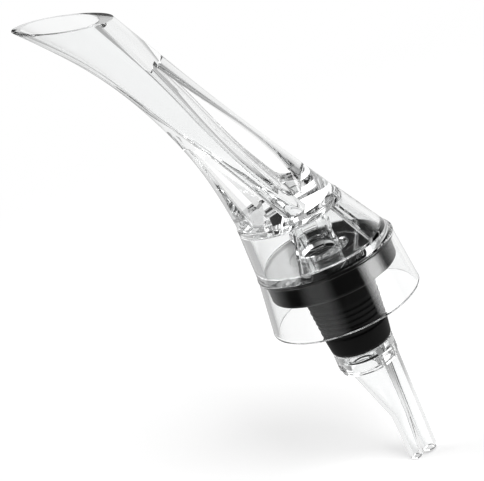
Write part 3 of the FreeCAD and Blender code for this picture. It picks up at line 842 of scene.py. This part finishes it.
def make_floor():
    """A white floor that keeps the shadow near the object and is plain white far out."""
    corners = ((-1, -1), (1, -1), (1, 1), (-1, 1))
    points = [Vector((x * FLOOR_HALF, y * FLOOR_HALF, -FLOOR_BELOW)) for x, y in corners]
    floor = mesh_object("floor", points, [(0, 1, 2, 3)])
    material, tree, shader = new_material("floor_white")
    set_inputs(tree, shader, {
        "Base Color": (FLOOR_COLOUR, FLOOR_COLOUR, FLOOR_COLOUR, 1),
        "Roughness": FLOOR_ROUGHNESS,
        "Specular IOR Level": 0.0,
        "Emission Color": (1, 1, 1, 1),
        "Emission Strength": FLOOR_LIFT,
    })
    where = node(tree, "ShaderNodeTexCoord").outputs["Object"]
    reach = vector_maths(tree, "LENGTH", where)["Value"]
    far = ranged(tree, reach, FLOOR_PLAIN_FROM, FLOOR_PLAIN_TO)
    plain = node(tree, "ShaderNodeEmission", {"Strength": 1.0})
    mirrored = node(tree, "ShaderNodeEmission", {"Strength": mirrored_floor(tree, where)})
    seen = node(tree, "ShaderNodeMixShader", {0: far, 1: shader.outputs[0], 2: plain.outputs[0]})
    whole = node(tree, "ShaderNodeMixShader",
                 {0: is_mirrored(tree), 1: seen.outputs[0], 2: mirrored.outputs[0]})
    set_inputs(tree, tree.nodes["Material Output"], {"Surface": whole.outputs[0]})
    floor.data.materials.append(material)


def seen_backdrop(tree, split):
    """The light of the backdrop as it is seen through clear walls."""
    fade = ranged(tree, split.outputs["Z"], BACKDROP_FADE_FROM, BACKDROP_FADE_TO, 1.0, 0.0)
    turn = maths(tree, "ARCTAN2", split.outputs["Y"], split.outputs["X"])
    wave = maths(tree, "COSINE", maths(tree, "MULTIPLY", turn, BACKDROP_WAVES))
    band = ranged(tree, wave, BACKDROP_WAVE_FROM, BACKDROP_WAVE_TO, BACKDROP_GAP, 1.0)
    return maths(tree, "MAXIMUM", maths(tree, "MULTIPLY", band, fade), BACKDROP_TOP)


def mirrored_room(tree, where, split):
    """The light of the room as reflections see it."""
    level = vector_maths(tree, "MULTIPLY", where, (1, 1, 0))[0]
    light = MIRRORED_ROOM
    for azimuth, half_width, softness, top, brightness in MIRRORED_PANELS:
        panel = sector(tree, level, azimuth, half_width, softness, brightness)
        below = ranged(tree, split.outputs["Z"], top, top + PANEL_FADE, 1.0, 0.0)
        light = maths(tree, "MAXIMUM", maths(tree, "MULTIPLY", panel, below), light)
    twice = maths(tree, "MULTIPLY", is_mirrored(tree, 2), MIRRORED_TWICE)
    return maths(tree, "MAXIMUM", light, twice)


def make_world():
    """White to the camera, the backdrop through clear walls, and the room to reflections."""
    world = bpy.data.worlds.new("studio")
    bpy.context.scene.world = world
    world.use_nodes = True
    tree = world.node_tree
    where = node(tree, "ShaderNodeTexCoord").outputs["Generated"]
    split = node(tree, "ShaderNodeSeparateXYZ", {0: where})
    light = node(tree, "ShaderNodeMix", {0: is_mirrored(tree), 2: seen_backdrop(tree, split),
                                         3: mirrored_room(tree, where, split)}).outputs[0]
    camera = node(tree, "ShaderNodeLightPath").outputs["Is Camera Ray"]
    set_inputs(tree, tree.nodes["Background"],
               {"Color": (1, 1, 1, 1), "Strength": maths(tree, "MAXIMUM", light, camera)})


# Square lamps that point at the origin and light the floor and the rubber alone: name, place and
# size in millimetres, power in watts
LAMPS = (
    ("key", (580, -900, 960), 700, 12.8),
    ("fill", (-800, 400, 1040), 800, 5.1),
)


def make_lamp(name, place, size, power):
    data = bpy.data.lights.new(name, "AREA")
    data.size = size * MM
    data.energy = power
    lamp = bpy.data.objects.new(name, data)
    lamp.location = Vector(place) * MM
    lamp.visible_camera = lamp.visible_glossy = lamp.visible_transmission = False
    lamp.rotation_mode = "QUATERNION"
    lamp.rotation_quaternion = (-Vector(place)).to_track_quat("-Z", "Y")
    bpy.context.scene.collection.objects.link(lamp)


# The camera: its turn, tilt and roll follow the photograph, by the skirt's rim

IMAGE_WIDTH, IMAGE_HEIGHT = 484.0, 481.0
FOCAL_PIXELS = 2000.0
SENSOR = 36.0
CLIP_START, CLIP_END = 0.01, 100.0
AXIS_ANGLE = math.radians(66.55)
TILT = math.radians(18.4)
TURN = math.radians(-2.5)
RIM_PIXEL = (346.35, 304.7)
RIM_HALF_WIDTH = 78.2


def make_camera():
    """Works in the camera's own axes: x right, y down, z forward."""
    distance = FOCAL_PIXELS * RIM_RADIUS / RIM_HALF_WIDTH
    down = Vector((math.cos(AXIS_ANGLE) * math.cos(TILT), math.sin(AXIS_ANGLE) * math.cos(TILT),
                   math.sin(TILT)))
    rim = Vector(((RIM_PIXEL[0] - IMAGE_WIDTH / 2) / FOCAL_PIXELS,
                  (RIM_PIXEL[1] - IMAGE_HEIGHT / 2) / FOCAL_PIXELS, 1)) * distance
    right = down.cross(Vector((0, 0, 1))).normalized()
    right = right if right.x > 0 else -right
    away = right.cross(down)
    away = away if away.z > 0 else -away
    back = right * math.cos(TURN) + away * math.sin(TURN)
    side = away * math.cos(TURN) - right * math.sin(TURN)
    # Takes a direction of the part into the camera's axes
    turn = Matrix((
        (back.x, side.x, -down.x),
        (back.y, side.y, -down.y),
        (back.z, side.z, -down.z),
    ))
    place = -(turn.transposed() @ (rim - down * RIM_DEPTH))
    flip = Matrix(((1, 0, 0), (0, -1, 0), (0, 0, -1)))
    data = bpy.data.cameras.new("camera")
    data.sensor_width = SENSOR
    data.lens = FOCAL_PIXELS / IMAGE_WIDTH * SENSOR
    data.clip_start, data.clip_end = CLIP_START, CLIP_END
    camera = bpy.data.objects.new("camera", data)
    camera.matrix_world = Matrix.Translation(place * MM) @ (turn.transposed() @ flip).to_4x4()
    bpy.context.scene.collection.objects.link(camera)
    bpy.context.scene.camera = camera


CLEAR_BOUNCES = 24
GLOSSY_BOUNCES = 12

make_floor()
make_world()
make_camera()
for lamp_settings in LAMPS:
    make_lamp(*lamp_settings)

scene = bpy.context.scene
scene.view_settings.view_transform = "Standard"
scene.cycles.max_bounces = CLEAR_BOUNCES
scene.cycles.transmission_bounces = CLEAR_BOUNCES
scene.cycles.glossy_bounces = GLOSSY_BOUNCES
